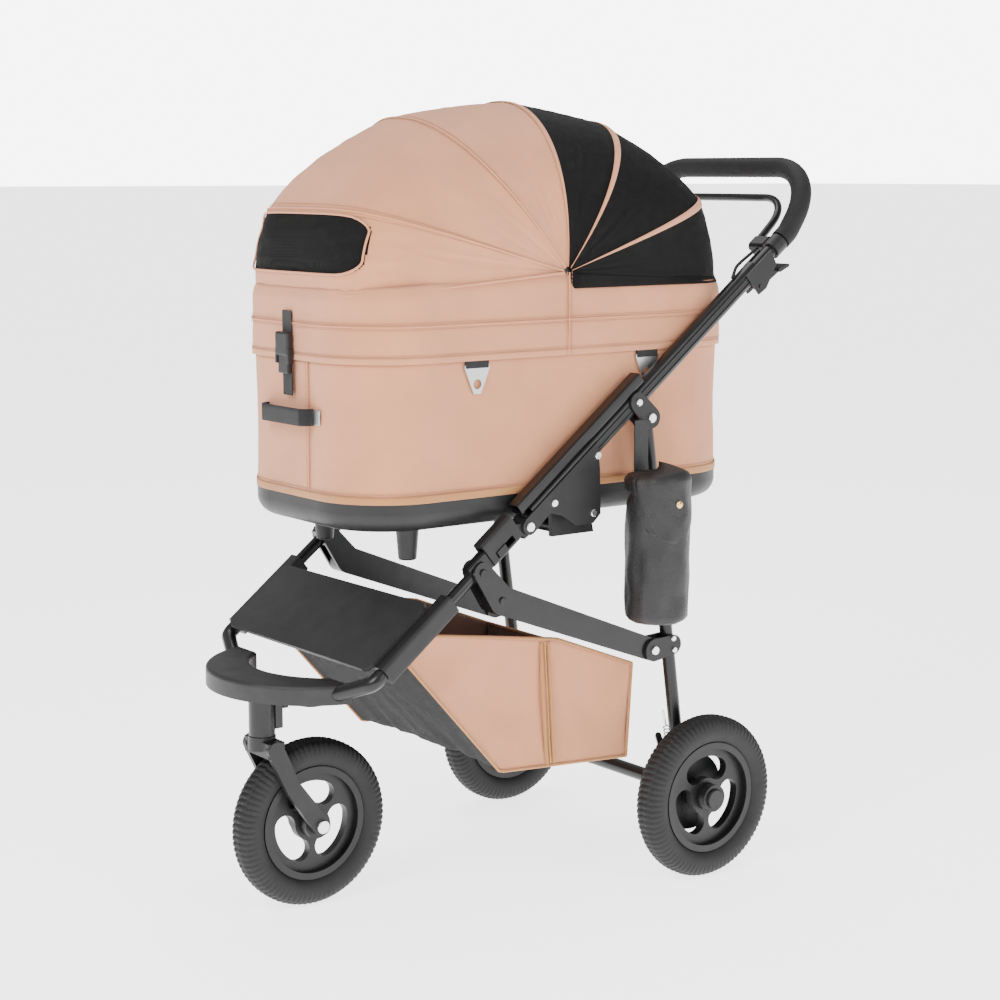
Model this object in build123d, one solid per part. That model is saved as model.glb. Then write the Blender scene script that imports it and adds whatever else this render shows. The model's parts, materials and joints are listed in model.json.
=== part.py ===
from build123d import *
import os
from math import atan2, cos, degrees, hypot, pi, radians, sin

# A three-wheeled pet stroller. Millimetres, +Z up, the front faces -Y, +X is the user's left-hand side.
# The origin is the bottom centre of the whole object's box. Every shape is drawn about the frame's own
# middle plane and moved sideways at the end, because the pouch hangs on the left side only.

# ---- driving dimensions -----------------------------------------------------------------------
overall_length = 984
wheel_diameter = 250
tyre_width = 46
wheelbase = 552
rear_track = 502
rear_axle_y = 204
caster_trail = 77

tube_slope = 38
tube_height = 656
tube_x = 200
tube_width = 22
tube_depth = 28
tube_wall = 1.8
plate = 4
front_tube_diameter = 18
leg_diameter = 20
bolt_radius = 4
bolt_head = 7

grip_diameter = 32
handle_tube_diameter = 22
handle_tilt = 56
handle_corner = 95
tube_end = 519
handle_joint = 430

cot_y = -12
cot_length = 710
cot_width = 362
cot_corner = 112
cot_floor_z = 570
fabric_bottom_z = 612
rim_bottom_z = 806
rim_top_z = 905
fabric = 3
rim_overhang = 4.5
canopy_pivot_z = 925
canopy_rise = 246
hood_angles = {"edge": 183.5, "a": 164.5, "b": 128}
mesh_angles = {"c": 86, "d": 51, "e": 18}

basket_width = 366
pouch_diameter = 100

rail_height = 18
rail_width = 24
rail = (-134, 152)
brake_tilt = 43
brake_reach = 108
brake_x = 150
brake_bar_radius = 6
cradle_z = 555
cradle_tube_y = (-30, 20)
pouch_y = 88
pouch_bottom = 415
pouch_top = 612
sleeve = (-215, -152)
sleeve_depth = 42
sleeve_rise = 9
slot = (-204, -166)
slot_half = 5
front_tube_end = -445
cover = (-443, -300)
yoke_radius = 11
yoke_z = 326
socket_radius = 19
socket_bottom = 268
stem_radius = 12
fork_gap = 28
fork_plate = 9
axle_radius = 6
hub_half = 25
rim_radius = 81
cap_radius = 15
drum_radius = 60
hoop_thickness = 3.6
hoop_width = 7
hoop_step = hoop_thickness + 0.9
pin_radius = 4
ring_y = (-175, 139)
ring_top = 801
basket_side = [(-309, 401), (-255, 422), (-30, 388), (116, 331), (106, 188), (-134, 204)]

running = 0.06
press = 0.02
gap = 0.3

# ---- values that follow from them -------------------------------------------------------------
slope_c = cos(radians(tube_slope))
slope_s = sin(radians(tube_slope))
wheel_radius = wheel_diameter / 2
wheel_x = rear_track / 2
front_axle_y = rear_axle_y - wheelbase
stem_y = front_axle_y - caster_trail
outer = tube_x + tube_width / 2
inner = tube_x - tube_width / 2
canopy_half_width = cot_width / 2 + 2
canopy_half_length = cot_length / 2 - 2
hoop_seat = canopy_half_width - 7
cot_front = cot_y - cot_length / 2
pouch_centre = (outer + plate + 6 + pouch_diameter / 2, pouch_y)
left_reach = pouch_centre[0] + pouch_diameter / 2
right_reach = wheel_x + hub_half + 5
centring = (right_reach - left_reach) / 2


def line_yz(s, up=0):
    """The Y and Z of a point s along the frame line and up from it at a right angle."""
    return s * slope_c - up * slope_s, tube_height + s * slope_s + up * slope_c


def line_point(s, up=0, x=tube_x):
    y, z = line_yz(s, up)
    return (x, y, z)


def line_plane(s, up=0, x=tube_x):
    """A plane across the frame line: local x is the object's X, local z runs up the line."""
    return Plane(origin=line_point(s, up, x), x_dir=(1, 0, 0), z_dir=(0, slope_c, slope_s))


def side_plane(x):
    """A plane facing +X: local x is Y and local y is Z."""
    return Plane(origin=(x, 0, 0), x_dir=(0, 1, 0), z_dir=(1, 0, 0))


def slab(points, x0, x1):
    """A flat piece cut from an outline of (y, z) points, from x0 to x1."""
    outline = make_face(Polyline(*points, close=True))
    return extrude(side_plane(x0) * outline, amount=x1 - x0)


def disc(centre, radius, x0, x1):
    """A cylinder along X about a (y, z) centre."""
    return extrude(side_plane(x0) * Pos(*centre) * Circle(radius), amount=x1 - x0)


def strap(a, b, ra, rb, x0, x1):
    """A flat link with round ends of radius ra at a and rb at b, both (y, z)."""
    angle = degrees(atan2(b[1] - a[1], b[0] - a[0]))
    length = hypot(b[0] - a[0], b[1] - a[1])
    tilt = degrees(atan2(ra - rb, length)) if length else 0
    up_a = Vector(0, ra).rotate(Axis.Z, angle - tilt)
    up_b = Vector(0, rb).rotate(Axis.Z, angle - tilt)
    down_a = Vector(0, -ra).rotate(Axis.Z, angle + tilt)
    down_b = Vector(0, -rb).rotate(Axis.Z, angle + tilt)
    corners = [
        (a[0] + up_a.X, a[1] + up_a.Y),
        (b[0] + up_b.X, b[1] + up_b.Y),
        (b[0] + down_b.X, b[1] + down_b.Y),
        (a[0] + down_a.X, a[1] + down_a.Y),
    ]
    return slab(corners, x0, x1) + disc(a, ra, x0, x1) + disc(b, rb, x0, x1)


def mirrored(shape):
    return mirror(shape, about=Plane.YZ)


def both(shape):
    """The left-hand piece and its right-hand copy, as two solids of one node."""
    return Compound([*shape.solids(), *mirrored(shape).solids()])


def bolt(centre, radius, x0, x1, head=bolt_head, head_height=3):
    """A shank along X with a domed head at each end, outside x0 and x1."""
    shank = disc(centre, radius, x0, x1)
    near = disc(centre, head, x0 - head_height, x0)
    far = disc(centre, head, x1, x1 + head_height)
    near = chamfer(near.edges().group_by(Axis.X)[0], 1)
    far = chamfer(far.edges().group_by(Axis.X)[-1], 1)
    return shank + near + far


def tube_along(section, s0, s1):
    return extrude(line_plane(s0) * section, amount=s1 - s0)


# ---- pivots, as (y, z) ------------------------------------------------------------------------
leg_top = line_yz(129, -35)
fold_pivot = line_yz(-137, -6)
link_front = line_yz(-238)
link_knee = (-154, 466)
link_rear = (134, 354)
rear_axle = (rear_axle_y, wheel_radius)
front_axle = (front_axle_y, wheel_radius)
canopy_pivot = (cot_y, canopy_pivot_z)
lever_pivot = line_yz(416, -22)
brake_pivot = line_yz(488, -4)


def leg_at(z):
    """The (y, z) of the rear leg's centre line at a height z."""
    part = (leg_top[1] - z) / (leg_top[1] - rear_axle[1])
    return (leg_top[0] + part * (rear_axle[0] - leg_top[0]), z)


# ---- upper frame ------------------------------------------------------------------------------
def main_tubes():
    """The long tube on each side, and the shorter rail that lies on it."""
    section = RectangleRounded(tube_width, tube_depth, 9)
    bore = RectangleRounded(tube_width - 2 * tube_wall, tube_depth - 2 * tube_wall, 9 - tube_wall)
    tube = tube_along(section - bore, -118, handle_joint)
    rise = (tube_depth + rail_height) / 2
    section = RectangleRounded(rail_width, rail_height, 5)
    bore = RectangleRounded(rail_width - 2 * tube_wall, rail_height - 2 * tube_wall, 5 - tube_wall)
    upper = extrude(line_plane(rail[0], rise) * (section - bore), amount=rail[1] - rail[0])
    return both(Compound([tube, upper]))


def handle_path(start):
    """The handle's centre line, from s = start on the left tube round to the right one."""
    reach = (overall_length / 2 - grip_diameter / 2 - line_yz(tube_end)[0]) / cos(radians(handle_tilt))
    bend_y, bend_z = line_yz(tube_end)
    top_y = bend_y + reach * cos(radians(handle_tilt))
    top_z = bend_z + reach * sin(radians(handle_tilt))
    half = [line_point(start), (tube_x, bend_y, bend_z), (tube_x, top_y, top_z)]
    other = [(-x, y, z) for x, y, z in reversed(half)]
    return FilletPolyline(*half, *other, radius=[40, handle_corner, handle_corner, 40])


def round_sweep(path, radius, bore=0):
    ring = Circle(radius) - Circle(bore) if bore else Circle(radius)
    start = Plane(origin=path @ 0, z_dir=path % 0)
    return sweep(start * ring, path=path)


def handle_bar():
    return round_sweep(handle_path(handle_joint), handle_tube_diameter / 2, handle_tube_diameter / 2 - 2)


def handle_grip():
    return round_sweep(handle_path(500), grip_diameter / 2, handle_tube_diameter / 2 + 0.15)


def brake_bar():
    y0, z0 = brake_pivot
    y1 = y0 + brake_reach * cos(radians(brake_tilt))
    z1 = z0 + brake_reach * sin(radians(brake_tilt))
    half = [(brake_x, y0, z0), (brake_x, y1, z1)]
    other = [(-x, y, z) for x, y, z in reversed(half)]
    loop = round_sweep(FilletPolyline(*half, *other, radius=60), brake_bar_radius)
    pin = disc(brake_pivot, 4, brake_x, brake_x + 24)
    eye = disc(brake_pivot, 8, brake_x - 5, brake_x + 5)
    return loop + pin + eye + mirrored(pin) + mirrored(eye)


def brake_housings():
    """A clamp round each leg of the handle with a block that carries the brake bar's pin."""
    clamp = tube_along(Circle(15) - Circle(handle_tube_diameter / 2 + 0.1), 474, 497)
    body = Pos(X=-28) * Box(30, 23, 24)
    block = Plane(line_point(485.5, 0), x_dir=(1, 0, 0), z_dir=(0, slope_c, slope_s)) * body
    block = fillet(block.edges().filter_by(Axis.X), 5)
    bore = tube_along(Circle(15 - 1), 470, 500)
    block = block - bore - disc(brake_pivot, 4 + running, brake_x, brake_x + 40)
    swing = disc(brake_pivot, 14, brake_x - 20, brake_x + 6.5)
    return both(clamp + block - swing)


def brake_cables():
    """The short cable from each brake housing into its tube."""
    route = [
        line_point(473, 6, tube_x - 24),
        line_point(455, 8, tube_x - 24),
        line_point(432, 13, tube_x - 20),
        line_point(409, 21, tube_x - 8),
        line_point(388, 16.7, tube_x - 1),
    ]
    path = FilletPolyline(*route, radius=[30, 30, 26])
    return both(round_sweep(path, 2.5))


def release_brackets():
    """A plate on each side of the tube, with the pin hole of the finger lever."""
    outline = [line_yz(402, 9), line_yz(466, 9), line_yz(462, -16), line_yz(424, -32), line_yz(406, -30)]
    left = slab(outline, outer, outer + 2.5)
    right = slab(outline, inner - 2.5, inner)
    hole = disc(lever_pivot, 3 + running, inner - 5, outer + 5)
    return both(left + right - hole)


def release_lever():
    """The finger lever under the left tube, on its own pin."""
    tip = line_yz(480, -33)
    arm = strap(lever_pivot, line_yz(462, -28), 5, 3, inner + 1.5, outer - 1.5)
    tab = strap(line_yz(462, -28), tip, 3, 2.5, inner - 3, outer + 3)
    pin = disc(lever_pivot, 3, inner - 4, outer + 4)
    return arm + tab + pin


def upper_brackets():
    """The plates that hang each rear leg under its tube."""
    top = line_yz(124)
    cheek = strap(top, leg_top, 15, 16, outer, outer + plate)
    other = strap(top, leg_top, 15, 16, inner - plate, inner)
    hole = disc(leg_top, bolt_radius + press, inner - 9, outer + 9)
    return both(cheek + other - hole)


def side_plates():
    """The casting under each tube that carries the cot's cradle and the fold hinge."""
    lower = [(24, 640), (26, 574), (12, 561), (-20, 560), (-45, 577)]
    flange = [line_yz(-137, 7), line_yz(30, 7), *lower, line_yz(-98, -16), line_yz(-137, -18)]
    cheeks = slab(flange, outer, outer + plate) + slab(flange, inner - plate, inner)
    cheeks += disc(fold_pivot, 12, outer, outer + plate) + disc(fold_pivot, 12, inner - plate, inner)
    web = [line_yz(16, -tube_depth / 2), (18, 632), (19, 577), (8, 569), (-16, 568), (-40, 583)]
    web = slab([*web, line_yz(-88, -tube_depth / 2)], inner, outer)
    pocket = slab([(10, 618), (12, 584), (-14, 578), (-30, 590)], inner + 3, outer)
    lug = slab([(-45, 578), (-44, cradle_z - 12), (34, cradle_z - 12), (26, 578)], inner - 8, inner)
    hole = disc(fold_pivot, bolt_radius + press, inner - 9, outer + 9)
    return both(cheeks + web - pocket + lug - hole)


def cot_cradle():
    """Two cross tubes and the saddle that the cot stands on."""
    half = inner - 8
    tubes = disc((cradle_tube_y[0], cradle_z), 9, -half, half)
    tubes += disc((cradle_tube_y[1], cradle_z), 9, -half, half)
    top = cot_floor_z - cradle_z
    saddle = Pos(0, -5, cradle_z + top / 2 + 2) * Box(300, 84, top - 4)
    return tubes + fillet(saddle.edges().filter_by(Axis.Z), 12)


def frame_bolts():
    """The bolts of the upper frame."""
    hinge = [bolt(leg_top, bolt_radius, inner - plate, outer + plate)]
    hinge += [bolt(fold_pivot, bolt_radius, inner - plate, outer + plate)]
    spots = [line_yz(124), line_yz(18, -9), line_yz(-84, -9), (12, 576)]
    heads = [stud(spot, outer + plate) for spot in spots]
    return both(Compound([*hinge, *heads]))


def stud(centre, x, radius=5.5, height=3):
    """A bolt head that stands on the outer face at x."""
    head = disc(centre, radius, x, x + height)
    return chamfer(head.edges().group_by(Axis.X)[-1], 1)


def bottle_pouch():
    """A soft round bag, open under its flap, with the strap that hangs it from the upper bracket."""
    middle = (pouch_bottom + pouch_top) / 2
    body = Pos(*pouch_centre, middle) * Cylinder(pouch_diameter / 2, pouch_top - pouch_bottom)
    body = fillet(body.edges().group_by(Axis.Z)[0], 10)
    hollow = Pos(*pouch_centre, middle + 10) * Cylinder(pouch_diameter / 2 - 4, pouch_top - pouch_bottom)
    strap_x = pouch_centre[0] - pouch_diameter / 2
    hanger = slab([(72, 600), (104, 600), (110, 700), (98, 716), (84, 700)], strap_x, strap_x + 3)
    return body - hollow + hanger


# ---- front frame ------------------------------------------------------------------------------
def lock_sleeves():
    """The box at the top of each front tube, with its hinge ear and the slot of the lock slider."""
    outside = RectangleRounded(tube_width + 2, sleeve_depth, 7)
    hollow = RectangleRounded(tube_width - 8, tube_depth, 3)
    box = extrude(line_plane(sleeve[0], sleeve_rise) * (outside - hollow), amount=sleeve[1] - sleeve[0])
    ear = disc(fold_pivot, 12, inner + 1, outer - 1)
    neck = [line_yz(-140, 4), line_yz(-137, -18), line_yz(-153, -16), line_yz(-153, 12)]
    neck = slab(neck, inner + 1, outer - 1)
    window = slab(along(slot[0], slot[1], slot_half), outer - 8, outer + 9)
    hole = disc(fold_pivot, bolt_radius + running, inner - 9, outer + 9)
    return both(box + ear + neck - window - hole)


def along(s0, s1, half):
    """The corners of a bar on the frame line, as (y, z) points."""
    return [line_yz(s0, half), line_yz(s1, half), line_yz(s1, -half), line_yz(s0, -half)]


def lock_slider():
    """The tab in the left sleeve's slot, which the finger lever pulls."""
    return slab(along(slot[0] + 2, slot[0] + 20, slot_half - 0.15), outer - 4, outer + 3)


def front_tubes():
    """The front tube and the block that joins it to its sleeve."""
    block = extrude(line_plane(-252, 3) * RectangleRounded(18, 30, 5), amount=sleeve[0] + 252)
    return both(block + tube_along(Circle(front_tube_diameter / 2), front_tube_end, -250))


def tube_covers():
    section = Pos(Y=2) * RectangleRounded(26, 30, 6)
    channel = section - Circle(front_tube_diameter / 2 + 0.2)
    return both(tube_along(channel, *cover))


def footrest_panel():
    """The flat step between the front tubes."""
    thickness = 6
    half = inner + 3
    middle = line_point(-390, 13 + thickness / 2 + 0.1, 0)
    sheet = Plane(middle, x_dir=(1, 0, 0), z_dir=(0, -slope_s, slope_c))
    step = sheet * Box(2 * half, 131, thickness)
    rib = sheet * Pos(0, -50, -8) * Box(2 * half - 20, 4, 10.5)
    corners = step.edges().filter_by(Axis((0, 0, 0), (0, -slope_s, slope_c)))
    step = fillet(corners, 14)
    return step + rib


def yoke_path():
    start = line_point(front_tube_end)
    half = [start, line_point(-462), (104, stem_y + 22, yoke_z + 10), (0, stem_y + 8, yoke_z)]
    other = [(-x, y, z) for x, y, z in reversed(half[:-1])]
    return FilletPolyline(*half, *other, radius=[16, 90, 120, 90, 16])


def front_yoke():
    """The bent cross member with the caster's socket."""
    arms = round_sweep(yoke_path(), yoke_radius)
    socket = Pos(0, stem_y, (socket_bottom + 346) / 2) * Cylinder(socket_radius, 346 - socket_bottom)
    bore = Pos(0, stem_y, (socket_bottom + 334) / 2) * Cylinder(stem_radius + running, 334 - socket_bottom)
    guide = Pos(0, stem_y + socket_radius + 3, 296) * Box(24, 12, 40)
    track = Pos(0, stem_y + socket_radius + 6, 296) * Box(14.4, 12, 60)
    return arms + socket + guide - track - bore


def foot_bumper():
    """The crescent step in front of the caster."""
    front = -overall_length / 2
    back = stem_y + 54
    half = 156
    outside = ThreePointArc((-half, back), (0, front), (half, back))
    inside = ThreePointArc((half - 52, back), (0, stem_y + 2), (-half + 52, back))
    ends = Line((half, back), (half - 52, back)) + Line((-half + 52, back), (-half, back))
    outline = make_face([outside, inside, *ends.edges()])
    step = extrude(Plane.XY.offset(yoke_z + 10) * outline, amount=28)
    step = fillet(step.edges().group_by(Axis.Z)[-1], 6)
    seat = round_sweep(yoke_path(), yoke_radius + 0.3)
    socket = Pos(0, stem_y, 330) * Cylinder(socket_radius + 0.3, 34)
    return step - seat - socket


def swivel_lock():
    """The slide behind the socket that stops the caster from turning."""
    slide = Pos(0, stem_y + socket_radius + 6.2, 300) * Box(14, 11, 26)
    thumb = Pos(0, stem_y + socket_radius + 15, 308) * Box(22, 8, 8)
    return slide + thumb


def front_fork():
    """The caster's stem, crown and two curved arms."""
    stem = Pos(0, stem_y, (250 + 332) / 2) * Cylinder(stem_radius, 332 - 250)
    crown = Pos(0, stem_y, 257) * Cylinder(20, 20) + Pos(0, stem_y + 4, 250) * Box(72, 28, 22)
    crown = fillet(crown.edges().filter_by(Axis.Z), 4)
    top = (stem_y + 2, 250)
    knee = (stem_y + 30, 190)
    arm = strap(top, knee, 13, 12, fork_gap, fork_gap + fork_plate)
    arm += strap(knee, front_axle, 12, 14, fork_gap, fork_gap + fork_plate)
    hole = disc(front_axle, axle_radius + 0.05, 0, 60)
    arm = arm - hole
    return stem + crown + arm + mirrored(arm)


def front_axle_bolt():
    reach = fork_gap + fork_plate
    return bolt(front_axle, axle_radius, -reach, reach, 10, 5)


# ---- wheels -----------------------------------------------------------------------------------
def tyre(centre, x):
    """A tyre about an axle along X, with a rounded tread."""
    depth = wheel_radius - rim_radius
    section = Pos(x, rim_radius + depth / 2) * RectangleRounded(tyre_width, depth, 0.499 * depth)
    ring = revolve(section, axis=Axis.X)
    groove = Pos(x, 0) * Pos(0, rim_radius) * Rectangle(tyre_width - 12, 8)
    ring = ring - revolve(groove, axis=Axis.X)
    return Pos(0, *centre) * ring


def rim(centre, x, side):
    """A three-window wheel centre; side is the way its button seat faces, or 0 for none."""
    barrel_half = (tyre_width - 12) / 2 - 0.2
    barrel = revolve(Pos(x, rim_radius - 1.2) * Rectangle(2 * barrel_half, 10), axis=Axis.X)
    web = disc((0, 0), rim_radius - 5, x - 7, x + 7)
    for turn in range(3):
        bean = SlotArc(CenterArc((0, 0), 45, turn * 120 + 60, 62), 34)
        web -= extrude(side_plane(x - 20) * bean, amount=40)
    hub = disc((0, 0), 21, x - hub_half, x + hub_half)
    bore = disc((0, 0), axle_radius + running, x - 60, x + 60)
    wheel = barrel + web + hub - bore
    if side:
        seat = disc((0, 0), cap_radius + gap, wheel_x + 15, wheel_x + 60)
        wheel -= seat if side > 0 else mirrored(seat)
    return Pos(0, *centre) * wheel


def hub_button():
    """The round button in the left rear hub that frees the wheel from its stub."""
    cap = disc(rear_axle, cap_radius, wheel_x + 19, wheel_x + hub_half + 5)
    return chamfer(cap.edges().group_by(Axis.X)[-1], 1.5)


# ---- rear frame -------------------------------------------------------------------------------
def rear_legs():
    """A straight tube from each upper bracket to the axle, with an eye at the top."""
    top = Vector(tube_x, *leg_top)
    foot = Vector(tube_x, *rear_axle)
    direction = (foot - top).normalized()
    length = (foot - top).length
    tube = extrude(Plane(origin=top, z_dir=direction) * Circle(leg_diameter / 2), amount=length)
    eye = disc(leg_top, 12, inner + 1, outer - 1)
    boss = disc(rear_axle, 18, inner - plate, outer + plate - 1)
    stub = disc(rear_axle, axle_radius, outer, wheel_x + 13)
    hole = disc(leg_top, bolt_radius + running, inner - 9, outer + 9)
    return both(tube + eye + boss + stub - hole)


def rear_axle_tube():
    half = inner - plate
    return disc(rear_axle, 11, -half, half)


def rear_knuckles():
    """The plates that join each link arm to its rear leg."""
    on_leg = leg_at(358)
    outside = strap(on_leg, link_rear, 15, 17, tube_x + leg_diameter / 2, outer + plate)
    inside = strap(on_leg, link_rear, 15, 17, inner - plate, tube_x - leg_diameter / 2)
    hole = disc(link_rear, bolt_radius + press, inner - 9, outer + 9)
    return both(outside + inside - hole)


def brake_drums():
    """The brake inside each rear wheel, with the lever that its cable pulls."""
    drum = disc(rear_axle, drum_radius, outer + plate - 1, wheel_x - hub_half - 2)
    low = (rear_axle_y - 30, wheel_radius + 12)
    high = (rear_axle_y - 62, wheel_radius + 96)
    lever = strap(low, high, 7, 5, outer + plate - 1, outer + plate + 2)
    bore = disc(rear_axle, axle_radius + 0.1, 0, 300)
    return both(drum + lever - bore)


def rear_bolts():
    pivot = bolt(link_rear, bolt_radius, inner - plate, outer + plate)
    spots = [leg_at(350), leg_at(368)]
    heads = [stud(spot, outer + plate, 4.5) for spot in spots]
    return both(Compound([pivot, *heads]))


def link_arms():
    """The bar from each front tube to its rear leg, forked at the front over the tube."""
    side = leg_diameter / 2 - gap
    bar = strap(link_knee, link_rear, 21, 17, tube_x - side, tube_x + side)
    cheek = strap(link_front, link_knee, 15, 21, tube_x + side, outer + plate)
    other = strap(link_front, link_knee, 15, 21, inner - plate, tube_x - side)
    head = stud(link_front, outer + plate)
    rivet = stud(link_knee, outer + plate, 5)
    hole = disc(link_rear, bolt_radius + running, inner - 9, outer + 9)
    return both(bar + cheek + other + head + rivet - hole)


# ---- basket -----------------------------------------------------------------------------------
def basket():
    """The fabric basket under the cot, open at the top."""
    half = basket_width / 2
    shell = slab(basket_side, -half, half)
    space = [(-300, 402), (-255, 440), (-30, 406), (113, 350), (102, 192), (-131, 208)]
    return shell - slab(space, -half + fabric, half - fabric)


# ---- cot --------------------------------------------------------------------------------------
def cot_outline(grow=0):
    return Pos(0, cot_y) * RectangleRounded(cot_width + 2 * grow, cot_length + 2 * grow, cot_corner + grow)


def ring(z0, z1, grow, wall):
    """A wall that follows the cot's outline, grown by grow outside."""
    band = cot_outline(grow) - cot_outline(grow - wall)
    return extrude(Plane.XY.offset(z0) * band, amount=z1 - z0)


def cot_tray():
    """The moulded pan that the cot stands on."""
    block = extrude(Plane.XY.offset(cot_floor_z) * cot_outline(), amount=fabric_bottom_z - cot_floor_z)
    block = fillet(block.edges().group_by(Axis.Z)[0], 26)
    space = extrude(Plane.XY.offset(cot_floor_z + 6) * cot_outline(-6), amount=60)
    space = fillet(space.edges().group_by(Axis.Z)[0], 24)
    return block - space


def cot_wall():
    return ring(fabric_bottom_z, rim_bottom_z + 4, 0, fabric)


def cot_rim():
    """The stiff band round the top of the cot, which overhangs the wall."""
    return ring(rim_bottom_z, rim_top_z, rim_overhang, fabric)


def cot_mat():
    pad = extrude(Plane.XY.offset(cot_floor_z + 32) * cot_outline(-8), amount=22)
    return fillet(pad.edges().group_by(Axis.Z)[-1], 8)


foot_places = ((110, -245), (110, 235))


def cot_feet():
    """Four posts that the cot stands on when it is off the frame."""
    feet = []
    for x, y in foot_places:
        for side in (1, -1):
            post = Pos(side * x, y, cot_floor_z - 25) * Cone(13, 17, 50)
            feet.append(fillet(post.edges().group_by(Axis.Z)[0], 3))
    return Compound(feet)


def grab_handle():
    """The pull loop on the cot's front."""
    front = cot_front
    span = 62
    bow = Pos(0, front, 728) * (Box(2 * span, 44, 24) - Pos(0, 4, 0) * Box(2 * span - 20, 45, 30))
    bow = bow & Pos(0, front - 11, 728) * Box(200, 22, 60)
    return bow


def front_buckle():
    """The strap and clip that lock the rim to the cot."""
    front = cot_front - rim_overhang
    strap_piece = Pos(0, front - 1.5, 815) * Box(20, 3, 120)
    clip = Pos(0, front - 8, 812) * Box(30, 10, 54)
    return strap_piece + fillet(clip.edges().filter_by(Axis.Y), 5)


def tie_ring(side, y):
    """A flat triangular ring with a round hole."""
    outline = [(y - 24, ring_top), (y + 24, ring_top), (y + 6, ring_top - 42), (y - 6, ring_top - 42)]
    x0 = cot_width / 2 + 1.4
    blank = slab(outline, x0, x0 + 2)
    blank = fillet(blank.edges().filter_by(Axis.X), 4)
    blank -= disc((y, ring_top - 28), 7, x0 - 5, x0 + 9)
    return blank if side > 0 else mirrored(blank)


# ---- canopy -----------------------------------------------------------------------------------
def dome_radius(angle):
    """How far the canopy reaches from its pivot line at an angle up from +Y."""
    power = 2.15
    a = radians(angle)
    across = abs(cos(a)) / canopy_half_length
    up = abs(sin(a)) / canopy_rise
    return (across ** power + up ** power) ** (-1 / power)


def boxiness(angle):
    """The exponent of a hoop's outline: nearly an ellipse at the top, squarer near the rim."""
    return 2.15 + 2.4 * abs(cos(radians(angle))) ** 6


def hoop_plane(angle):
    """The plane of a hoop through the pivot line: local x is X, local y points away from it."""
    a = radians(angle)
    return Plane(origin=(0, *canopy_pivot), x_dir=(1, 0, 0), z_dir=(0, -sin(a), cos(a)))


def hoop_curve(angle, inset, foot=20, count=13):
    """Half a superellipse in the hoop's plane, its feet at a distance from the pivot line."""
    power = boxiness(angle)
    wide = canopy_half_width - inset
    high = dome_radius(angle) - inset
    start = (foot / high) ** (power / 2)
    points = []
    for i in range(count):
        t = start + (pi - 2 * start) * i / (count - 1)
        x = wide * abs(cos(t)) ** (2 / power) * (1 if cos(t) > 0 else -1)
        points.append((x, high * sin(t) ** (2 / power)))
    points[count // 2] = (0, high)
    return Spline(*points)


def panel_section(angle, thickness=2):
    outside = hoop_curve(angle, 0)
    inside = hoop_curve(angle, thickness)
    ends = Line(outside @ 0, inside @ 0) + Line(outside @ 1, inside @ 1)
    return hoop_plane(angle) * make_face([outside, inside, *ends.edges()])


def panel(start, end):
    """Fabric stretched from one hoop's plane to another's, a little clear of both."""
    step = (end - start) / 2
    sections = [panel_section(start + step * i) for i in range(3)]
    return loft(sections)


def canopy_mesh():
    """The rear half's three mesh panels."""
    turns = [mesh_angles["c"], mesh_angles["d"], mesh_angles["e"], -2.5]
    return Compound([panel(b + 0.4, a - 0.4) for a, b in zip(turns, turns[1:])])


def bent_hoop(angle, layer, foot):
    """A flat wire hoop, layer steps in from the fabric, from foot out on each side."""
    inset = canopy_half_width - hoop_seat + layer * hoop_step
    outside = hoop_curve(angle, inset, foot)
    inside = hoop_curve(angle, inset + hoop_thickness, foot)
    ends = Line(outside @ 0, inside @ 0) + Line(outside @ 1, inside @ 1)
    face = hoop_plane(angle) * make_face([outside, inside, *ends.edges()])
    return extrude(face, amount=hoop_width / 2, both=True)


def canopy_hoops():
    """The three fixed hoops of the mesh half."""
    return Compound([bent_hoop(angle, 0, 15) for angle in mesh_angles.values()])


def canopy_pivots():
    """The plate on each side that the hoops stand on, with the pin of the moving hoops."""
    top = hoop_seat
    sheet = 1.4
    plate_disc = disc(canopy_pivot, 22, top, top + sheet)
    leg = Pos(top + sheet / 2, cot_y, canopy_pivot_z - 35) * Box(sheet, 26, 50)
    pin = disc(canopy_pivot, pin_radius, top - 4 * hoop_step, top)
    return both(plate_disc + leg + pin)


def hood_hoop(name, layer):
    """A moving hoop of the hood with its eye on the pivot pin."""
    angle = hood_angles[name]
    wide = hoop_seat - layer * hoop_step - hoop_thickness / 2
    bow = bent_hoop(angle, layer, 7)
    half = hoop_thickness / 2 + 0.12
    eye = disc(canopy_pivot, 10, wide - half, wide + half)
    hole = disc(canopy_pivot, pin_radius + running, wide - 9, wide + 9)
    return bow + eye + mirrored(eye) - hole - mirrored(hole)


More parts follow.
